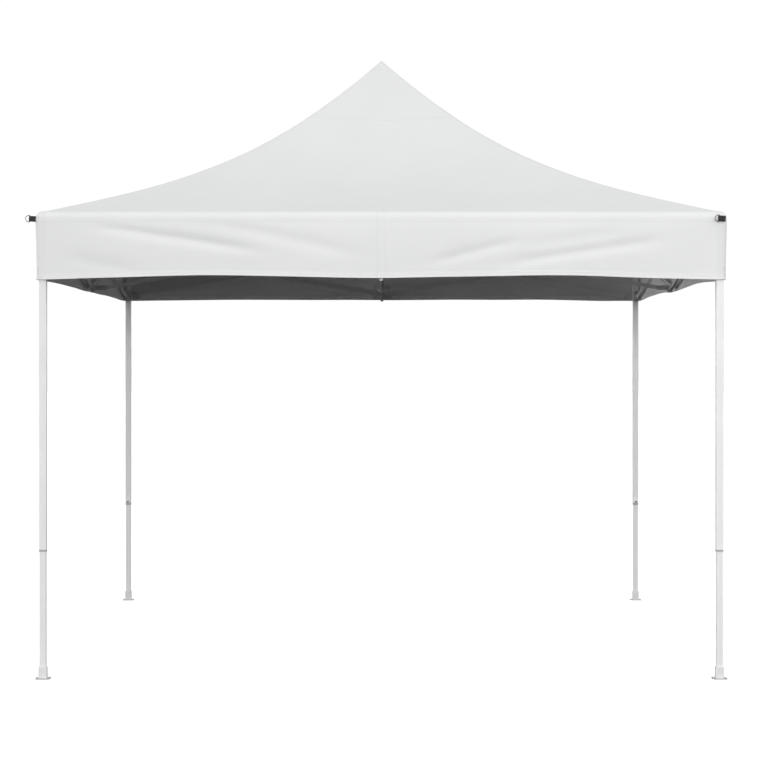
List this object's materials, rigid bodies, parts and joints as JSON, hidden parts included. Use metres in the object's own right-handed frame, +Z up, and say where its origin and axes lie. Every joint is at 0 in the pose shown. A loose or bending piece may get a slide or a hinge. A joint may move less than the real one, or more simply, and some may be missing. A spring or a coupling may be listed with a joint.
{
  "type": "pop up canopy",
  "caption": "Square peaked canopy with a valance on a folding frame of crossed bars, sliding brackets and telescopic legs.",
  "frame": {"origin": "on the ground under the roof's peak, in the middle of the four feet", "axes": "+Z up, -Y to the front, +X to the right as seen from the front"},
  "size_m": [3.016, 3.016, 2.92],
  "materials": {
    "frame_tube": "white powder coat",
    "bracket": "moulded nylon, satin",
    "button": "moulded, satin",
    "cloth": "coated woven polyester, matt"
  },
  "bodies": {
    "centre_upper_hub": {"centre_upper_hub": "bracket"},
    "inner_bar_a_front": {"inner_bar_a_front": "frame_tube"},
    "inner_bar_b_front": {"inner_bar_b_front": "frame_tube"},
    "mid_lower_hub_front": {"mid_lower_hub_front": "bracket"},
    "mid_upper_hub_front": {"mid_upper_hub_front": "bracket"},
    "centre_lower_hub": {"centre_lower_hub": "bracket"},
    "side_bar_a_front_right": {"side_bar_a_front_right": "frame_tube"},
    "side_bar_b_front_right": {"side_bar_b_front_right": "frame_tube"},
    "slider_front_right": {"slider_front_right": "bracket"},
    "outer_leg_front_right": {"outer_leg_front_right": "frame_tube"},
    "side_bar_a_front_left": {"side_bar_a_front_left": "frame_tube"},
    "side_bar_b_front_left": {"side_bar_b_front_left": "frame_tube"},
    "inner_bar_a_right": {"inner_bar_a_right": "frame_tube"},
    "inner_bar_b_right": {"inner_bar_b_right": "frame_tube"},
    "mid_lower_hub_right": {"mid_lower_hub_right": "bracket"},
    "mid_upper_hub_right": {"mid_upper_hub_right": "bracket"},
    "side_bar_a_right_right": {"side_bar_a_right_right": "frame_tube"},
    "side_bar_b_right_right": {"side_bar_b_right_right": "frame_tube"},
    "slider_back_right": {"slider_back_right": "bracket"},
    "outer_leg_back_right": {"outer_leg_back_right": "frame_tube"},
    "side_bar_a_right_left": {"side_bar_a_right_left": "frame_tube"},
    "side_bar_b_right_left": {"side_bar_b_right_left": "frame_tube"},
    "inner_bar_a_back": {"inner_bar_a_back": "frame_tube"},
    "inner_bar_b_back": {"inner_bar_b_back": "frame_tube"},
    "mid_lower_hub_back": {"mid_lower_hub_back": "bracket"},
    "mid_upper_hub_back": {"mid_upper_hub_back": "bracket"},
    "side_bar_a_back_right": {"side_bar_a_back_right": "frame_tube"},
    "side_bar_b_back_right": {"side_bar_b_back_right": "frame_tube"},
    "slider_back_left": {"slider_back_left": "bracket"},
    "outer_leg_back_left": {"outer_leg_back_left": "frame_tube"},
    "side_bar_a_back_left": {"side_bar_a_back_left": "frame_tube"},
    "side_bar_b_back_left": {"side_bar_b_back_left": "frame_tube"},
    "inner_bar_a_left": {"inner_bar_a_left": "frame_tube"},
    "inner_bar_b_left": {"inner_bar_b_left": "frame_tube"},
    "mid_lower_hub_left": {"mid_lower_hub_left": "bracket"},
    "mid_upper_hub_left": {"mid_upper_hub_left": "bracket"},
    "side_bar_a_left_right": {"side_bar_a_left_right": "frame_tube"},
    "side_bar_b_left_right": {"side_bar_b_left_right": "frame_tube"},
    "slider_front_left": {"slider_front_left": "bracket"},
    "outer_leg_front_left": {"outer_leg_front_left": "frame_tube"},
    "side_bar_a_left_left": {"side_bar_a_left_left": "frame_tube"},
    "side_bar_b_left_left": {"side_bar_b_left_left": "frame_tube"},
    "mast": {"mast": "frame_tube", "roof_peak": "cloth"},
    "roof_front": {"roof_front": "cloth"},
    "roof_right": {"roof_right": "cloth"},
    "roof_back": {"roof_back": "cloth"},
    "roof_left": {"roof_left": "cloth"},
    "inner_leg_front_right": {"inner_leg_front_right": "frame_tube"},
    "leg_button_front_right": {"leg_button_front_right": "button"},
    "slider_button_front_right": {"slider_button_front_right": "button"},
    "inner_leg_back_right": {"inner_leg_back_right": "frame_tube"},
    "leg_button_back_right": {"leg_button_back_right": "button"},
    "slider_button_back_right": {"slider_button_back_right": "button"},
    "inner_leg_back_left": {"inner_leg_back_left": "frame_tube"},
    "leg_button_back_left": {"leg_button_back_left": "button"},
    "slider_button_back_left": {"slider_button_back_left": "button"},
    "inner_leg_front_left": {"inner_leg_front_left": "frame_tube"},
    "leg_button_front_left": {"leg_button_front_left": "button"},
    "slider_button_front_left": {"slider_button_front_left": "button"}
  },
  "joints": [
    {"name": "fold", "type": "hinge", "parent": "centre_upper_hub", "child": "inner_bar_a_front", "pos_m": [0, -0.032, 2.006], "axis": [1, 0, 0], "range_deg": [0, 78.44]},
    {"name": "mid_lower_hub_front_pivot", "type": "hinge", "parent": "inner_bar_a_front", "child": "mid_lower_hub_front", "pos_m": [0, -1.408, 1.762], "axis": [1, 0, 0], "range_deg": [-78.44, 0]},
    {"name": "inner_bar_b_front_crossing", "type": "hinge", "parent": "inner_bar_a_front", "child": "inner_bar_b_front", "pos_m": [0, -0.72, 1.884], "axis": [1, 0, 0], "range_deg": [-156.89, 0]},
    {"name": "mid_upper_hub_front_pivot", "type": "hinge", "parent": "inner_bar_b_front", "child": "mid_upper_hub_front", "pos_m": [0, -1.408, 2.006], "axis": [1, 0, 0], "range_deg": [0, 78.44]},
    {"name": "centre_lower_hub_pivot", "type": "hinge", "parent": "inner_bar_b_front", "child": "centre_lower_hub", "pos_m": [0, -0.032, 1.762], "axis": [1, 0, 0], "range_deg": [0, 78.44]},
    {"name": "side_bar_a_front_right_pivot", "type": "hinge", "parent": "mid_upper_hub_front", "child": "side_bar_a_front_right", "pos_m": [0.045, -1.476, 2.006], "axis": [0, 1, 0], "range_deg": [0, 78.44]},
    {"name": "side_bar_b_front_right_crossing", "type": "hinge", "parent": "side_bar_a_front_right", "child": "side_bar_b_front_right", "pos_m": [0.733, -1.476, 1.884], "axis": [0, 1, 0], "range_deg": [-156.89, 0]},
    {"name": "slider_front_right_pivot", "type": "hinge", "parent": "side_bar_a_front_right", "child": "slider_front_right", "pos_m": [1.421, -1.476, 1.762], "axis": [0, 1, 0], "range_deg": [-78.44, 0]},
    {"name": "outer_leg_front_right_pivot", "type": "hinge", "parent": "side_bar_b_front_right", "child": "outer_leg_front_right", "pos_m": [1.421, -1.476, 2.006], "axis": [0, 1, 0], "range_deg": [0, 78.44]},
    {"name": "side_bar_a_front_left_pivot", "type": "hinge", "parent": "mid_upper_hub_front", "child": "side_bar_a_front_left", "pos_m": [-0.045, -1.476, 2.006], "axis": [0, -1, 0], "range_deg": [0, 78.44]},
    {"name": "side_bar_b_front_left_crossing", "type": "hinge", "parent": "side_bar_a_front_left", "child": "side_bar_b_front_left", "pos_m": [-0.733, -1.476, 1.884], "axis": [0, -1, 0], "range_deg": [-156.89, 0]},
    {"name": "inner_bar_a_right_pivot", "type": "hinge", "parent": "centre_upper_hub", "child": "inner_bar_a_right", "pos_m": [0.032, 0, 2.006], "axis": [0, 1, 0], "range_deg": [0, 78.44]},
    {"name": "mid_lower_hub_right_pivot", "type": "hinge", "parent": "inner_bar_a_right", "child": "mid_lower_hub_right", "pos_m": [1.408, 0, 1.762], "axis": [0, 1, 0], "range_deg": [-78.44, 0]},
    {"name": "inner_bar_b_right_crossing", "type": "hinge", "parent": "inner_bar_a_right", "child": "inner_bar_b_right", "pos_m": [0.72, 0, 1.884], "axis": [0, 1, 0], "range_deg": [-156.89, 0]},
    {"name": "mid_upper_hub_right_pivot", "type": "hinge", "parent": "inner_bar_b_right", "child": "mid_upper_hub_right", "pos_m": [1.408, 0, 2.006], "axis": [0, 1, 0], "range_deg": [0, 78.44]},
    {"name": "side_bar_a_right_right_pivot", "type": "hinge", "parent": "mid_upper_hub_right", "child": "side_bar_a_right_right", "pos_m": [1.476, 0.045, 2.006], "axis": [-1, 0, 0], "range_deg": [0, 78.44]},
    {"name": "side_bar_b_right_right_crossing", "type": "hinge", "parent": "side_bar_a_right_right", "child": "side_bar_b_right_right", "pos_m": [1.476, 0.733, 1.884], "axis": [-1, 0, 0], "range_deg": [-156.89, 0]},
    {"name": "slider_back_right_pivot", "type": "hinge", "parent": "side_bar_a_right_right", "child": "slider_back_right", "pos_m": [1.476, 1.421, 1.762], "axis": [-1, 0, 0], "range_deg": [-78.44, 0]},
    {"name": "outer_leg_back_right_pivot", "type": "hinge", "parent": "side_bar_b_right_right", "child": "outer_leg_back_right", "pos_m": [1.476, 1.421, 2.006], "axis": [-1, 0, 0], "range_deg": [0, 78.44]},
    {"name": "side_bar_a_right_left_pivot", "type": "hinge", "parent": "mid_upper_hub_right", "child": "side_bar_a_right_left", "pos_m": [1.476, -0.045, 2.006], "axis": [1, 0, 0], "range_deg": [0, 78.44]},
    {"name": "side_bar_b_right_left_crossing", "type": "hinge", "parent": "side_bar_a_right_left", "child": "side_bar_b_right_left", "pos_m": [1.476, -0.733, 1.884], "axis": [1, 0, 0], "range_deg": [-156.89, 0]},
    {"name": "inner_bar_a_back_pivot", "type": "hinge", "parent": "centre_upper_hub", "child": "inner_bar_a_back", "pos_m": [0, 0.032, 2.006], "axis": [-1, 0, 0], "range_deg": [0, 78.44]},
    {"name": "mid_lower_hub_back_pivot", "type": "hinge", "parent": "inner_bar_a_back", "child": "mid_lower_hub_back", "pos_m": [0, 1.408, 1.762], "axis": [-1, 0, 0], "range_deg": [-78.44, 0]},
    {"name": "inner_bar_b_back_crossing", "type": "hinge", "parent": "inner_bar_a_back", "child": "inner_bar_b_back", "pos_m": [0, 0.72, 1.884], "axis": [-1, 0, 0], "range_deg": [-156.89, 0]},
    {"name": "mid_upper_hub_back_pivot", "type": "hinge", "parent": "inner_bar_b_back", "child": "mid_upper_hub_back", "pos_m": [0, 1.408, 2.006], "axis": [-1, 0, 0], "range_deg": [0, 78.44]},
    {"name": "side_bar_a_back_right_pivot", "type": "hinge", "parent": "mid_upper_hub_back", "child": "side_bar_a_back_right", "pos_m": [-0.045, 1.476, 2.006], "axis": [0, -1, 0], "range_deg": [0, 78.44]},
    {"name": "side_bar_b_back_right_crossing", "type": "hinge", "parent": "side_bar_a_back_right", "child": "side_bar_b_back_right", "pos_m": [-0.733, 1.476, 1.884], "axis": [0, -1, 0], "range_deg": [-156.89, 0]},
    {"name": "slider_back_left_pivot", "type": "hinge", "parent": "side_bar_a_back_right", "child": "slider_back_left", "pos_m": [-1.421, 1.476, 1.762], "axis": [0, -1, 0], "range_deg": [-78.44, 0]},
    {"name": "outer_leg_back_left_pivot", "type": "hinge", "parent": "side_bar_b_back_right", "child": "outer_leg_back_left", "pos_m": [-1.421, 1.476, 2.006], "axis": [0, -1, 0], "range_deg": [0, 78.44]},
    {"name": "side_bar_a_back_left_pivot", "type": "hinge", "parent": "mid_upper_hub_back", "child": "side_bar_a_back_left", "pos_m": [0.045, 1.476, 2.006], "axis": [0, 1, 0], "range_deg": [0, 78.44]},
    {"name": "side_bar_b_back_left_crossing", "type": "hinge", "parent": "side_bar_a_back_left", "child": "side_bar_b_back_left", "pos_m": [0.733, 1.476, 1.884], "axis": [0, 1, 0], "range_deg": [-156.89, 0]},
    {"name": "inner_bar_a_left_pivot", "type": "hinge", "parent": "centre_upper_hub", "child": "inner_bar_a_left", "pos_m": [-0.032, 0, 2.006], "axis": [0, -1, 0], "range_deg": [0, 78.44]},
    {"name": "mid_lower_hub_left_pivot", "type": "hinge", "parent": "inner_bar_a_left", "child": "mid_lower_hub_left", "pos_m": [-1.408, 0, 1.762], "axis": [0, -1, 0], "range_deg": [-78.44, 0]},
    {"name": "inner_bar_b_left_crossing", "type": "hinge", "parent": "inner_bar_a_left", "child": "inner_bar_b_left", "pos_m": [-0.72, 0, 1.884], "axis": [0, -1, 0], "range_deg": [-156.89, 0]},
    {"name": "mid_upper_hub_left_pivot", "type": "hinge", "parent": "inner_bar_b_left", "child": "mid_upper_hub_left", "pos_m": [-1.408, 0, 2.006], "axis": [0, -1, 0], "range_deg": [0, 78.44]},
    {"name": "side_bar_a_left_right_pivot", "type": "hinge", "parent": "mid_upper_hub_left", "child": "side_bar_a_left_right", "pos_m": [-1.476, -0.045, 2.006], "axis": [1, 0, 0], "range_deg": [0, 78.44]},
    {"name": "side_bar_b_left_right_crossing", "type": "hinge", "parent": "side_bar_a_left_right", "child": "side_bar_b_left_right", "pos_m": [-1.476, -0.733, 1.884], "axis": [1, 0, 0], "range_deg": [-156.89, 0]},
    {"name": "slider_front_left_pivot", "type": "hinge", "parent": "side_bar_a_left_right", "child": "slider_front_left", "pos_m": [-1.476, -1.421, 1.762], "axis": [1, 0, 0], "range_deg": [-78.44, 0]},
    {"name": "outer_leg_front_left_pivot", "type": "hinge", "parent": "side_bar_b_left_right", "child": "outer_leg_front_left", "pos_m": [-1.476, -1.421, 2.006], "axis": [1, 0, 0], "range_deg": [0, 78.44]},
    {"name": "side_bar_a_left_left_pivot", "type": "hinge", "parent": "mid_upper_hub_left", "child": "side_bar_a_left_left", "pos_m": [-1.476, 0.045, 2.006], "axis": [-1, 0, 0], "range_deg": [0, 78.44]},
    {"name": "side_bar_b_left_left_crossing", "type": "hinge", "parent": "side_bar_a_left_left", "child": "side_bar_b_left_left", "pos_m": [-1.476, 0.733, 1.884], "axis": [-1, 0, 0], "range_deg": [-156.89, 0]},
    {"name": "mast_slide", "type": "slide", "parent": "centre_upper_hub", "child": "mast", "axis": [0, 0, -1], "range_m": [0, 0.7641], "deforming": ["roof_peak"]},
    {"name": "roof_front_drop", "type": "hinge", "parent": "mid_upper_hub_front", "child": "roof_front", "pos_m": [0, -1.4775, 2.0175], "axis": [-1, 0, 0], "range_deg": [0, 111.31], "deforming": ["roof_front"]},
    {"name": "roof_right_drop", "type": "hinge", "parent": "mid_upper_hub_right", "child": "roof_right", "pos_m": [1.4775, 0, 2.0175], "axis": [0, -1, 0], "range_deg": [0, 111.31], "deforming": ["roof_right"]},
    {"name": "roof_back_drop", "type": "hinge", "parent": "mid_upper_hub_back", "child": "roof_back", "pos_m": [0, 1.4775, 2.0175], "axis": [1, 0, 0], "range_deg": [0, 111.31], "deforming": ["roof_back"]},
    {"name": "roof_left_drop", "type": "hinge", "parent": "mid_upper_hub_left", "child": "roof_left", "pos_m": [-1.4775, 0, 2.0175], "axis": [0, 1, 0], "range_deg": [0, 111.31], "deforming": ["roof_left"]},
    {"name": "inner_leg_front_right_slide", "type": "slide", "parent": "outer_leg_front_right", "child": "inner_leg_front_right", "axis": [0, 0, 1], "range_m": [0, 0.495]},
    {"name": "leg_button_front_right_press", "type": "slide", "parent": "outer_leg_front_right", "child": "leg_button_front_right", "axis": [0, -1, 0], "range_m": [0, 0.004], "stiffness_N_per_m": 400},
    {"name": "slider_button_front_right_press", "type": "slide", "parent": "slider_front_right", "child": "slider_button_front_right", "axis": [1, 0, 0], "range_m": [0, 0.004], "stiffness_N_per_m": 400},
    {"name": "inner_leg_back_right_slide", "type": "slide", "parent": "outer_leg_back_right", "child": "inner_leg_back_right", "axis": [0, 0, 1], "range_m": [0, 0.495]},
    {"name": "leg_button_back_right_press", "type": "slide", "parent": "outer_leg_back_right", "child": "leg_button_back_right", "axis": [0, 1, 0], "range_m": [0, 0.004], "stiffness_N_per_m": 400},
    {"name": "slider_button_back_right_press", "type": "slide", "parent": "slider_back_right", "child": "slider_button_back_right", "axis": [0, 1, 0], "range_m": [0, 0.004], "stiffness_N_per_m": 400},
    {"name": "inner_leg_back_left_slide", "type": "slide", "parent": "outer_leg_back_left", "child": "inner_leg_back_left", "axis": [0, 0, 1], "range_m": [0, 0.495]},
    {"name": "leg_button_back_left_press", "type": "slide", "parent": "outer_leg_back_left", "child": "leg_button_back_left", "axis": [0, 1, 0], "range_m": [0, 0.004], "stiffness_N_per_m": 400},
    {"name": "slider_button_back_left_press", "type": "slide", "parent": "slider_back_left", "child": "slider_button_back_left", "axis": [-1, 0, 0], "range_m": [0, 0.004], "stiffness_N_per_m": 400},
    {"name": "inner_leg_front_left_slide", "type": "slide", "parent": "outer_leg_front_left", "child": "inner_leg_front_left", "axis": [0, 0, 1], "range_m": [0, 0.495]},
    {"name": "leg_button_front_left_press", "type": "slide", "parent": "outer_leg_front_left", "child": "leg_button_front_left", "axis": [0, -1, 0], "range_m": [0, 0.004], "stiffness_N_per_m": 400},
    {"name": "slider_button_front_left_press", "type": "slide", "parent": "slider_front_left", "child": "slider_button_front_left", "axis": [0, -1, 0], "range_m": [0, 0.004], "stiffness_N_per_m": 400}
  ],
  "couplings": [
    {"joint": "mid_lower_hub_front_pivot", "follows": "fold", "ratio": -1},
    {"joint": "inner_bar_b_front_crossing", "follows": "fold", "ratio": -2},
    {"joint": "mid_upper_hub_front_pivot", "follows": "fold", "ratio": 1},
    {"joint": "centre_lower_hub_pivot", "follows": "fold", "ratio": 1},
    {"joint": "side_bar_a_front_right_pivot", "follows": "fold", "ratio": 1},
    {"joint": "side_bar_b_front_right_crossing", "follows": "fold", "ratio": -2},
    {"joint": "slider_front_right_pivot", "follows": "fold", "ratio": -1},
    {"joint": "outer_leg_front_right_pivot", "follows": "fold", "ratio": 1},
    {"joint": "side_bar_a_front_left_pivot", "follows": "fold", "ratio": 1},
    {"joint": "side_bar_b_front_left_crossing", "follows": "fold", "ratio": -2},
    {"joint": "inner_bar_a_right_pivot", "follows": "fold", "ratio": 1},
    {"joint": "mid_lower_hub_right_pivot", "follows": "fold", "ratio": -1},
    {"joint": "inner_bar_b_right_crossing", "follows": "fold", "ratio": -2},
    {"joint": "mid_upper_hub_right_pivot", "follows": "fold", "ratio": 1},
    {"joint": "side_bar_a_right_right_pivot", "follows": "fold", "ratio": 1},
    {"joint": "side_bar_b_right_right_crossing", "follows": "fold", "ratio": -2},
    {"joint": "slider_back_right_pivot", "follows": "fold", "ratio": -1},
    {"joint": "outer_leg_back_right_pivot", "follows": "fold", "ratio": 1},
    {"joint": "side_bar_a_right_left_pivot", "follows": "fold", "ratio": 1},
    {"joint": "side_bar_b_right_left_crossing", "follows": "fold", "ratio": -2},
    {"joint": "inner_bar_a_back_pivot", "follows": "fold", "ratio": 1},
    {"joint": "mid_lower_hub_back_pivot", "follows": "fold", "ratio": -1},
    {"joint": "inner_bar_b_back_crossing", "follows": "fold", "ratio": -2},
    {"joint": "mid_upper_hub_back_pivot", "follows": "fold", "ratio": 1},
    {"joint": "side_bar_a_back_right_pivot", "follows": "fold", "ratio": 1},
    {"joint": "side_bar_b_back_right_crossing", "follows": "fold", "ratio": -2},
    {"joint": "slider_back_left_pivot", "follows": "fold", "ratio": -1},
    {"joint": "outer_leg_back_left_pivot", "follows": "fold", "ratio": 1},
    {"joint": "side_bar_a_back_left_pivot", "follows": "fold", "ratio": 1},
    {"joint": "side_bar_b_back_left_crossing", "follows": "fold", "ratio": -2},
    {"joint": "inner_bar_a_left_pivot", "follows": "fold", "ratio": 1},
    {"joint": "mid_lower_hub_left_pivot", "follows": "fold", "ratio": -1},
    {"joint": "inner_bar_b_left_crossing", "follows": "fold", "ratio": -2},
    {"joint": "mid_upper_hub_left_pivot", "follows": "fold", "ratio": 1},
    {"joint": "side_bar_a_left_right_pivot", "follows": "fold", "ratio": 1},
    {"joint": "side_bar_b_left_right_crossing", "follows": "fold", "ratio": -2},
    {"joint": "slider_front_left_pivot", "follows": "fold", "ratio": -1},
    {"joint": "outer_leg_front_left_pivot", "follows": "fold", "ratio": 1},
    {"joint": "side_bar_a_left_left_pivot", "follows": "fold", "ratio": 1},
    {"joint": "side_bar_b_left_left_crossing", "follows": "fold", "ratio": -2},
    {"joint": "mast_slide", "follows": "fold", "m_per_rad": 0.55802},
    {"joint": "roof_front_drop", "follows": "fold", "ratio": 1.4188},
    {"joint": "roof_right_drop", "follows": "fold", "ratio": 1.4188},
    {"joint": "roof_back_drop", "follows": "fold", "ratio": 1.4188},
    {"joint": "roof_left_drop", "follows": "fold", "ratio": 1.4188}
  ]
}
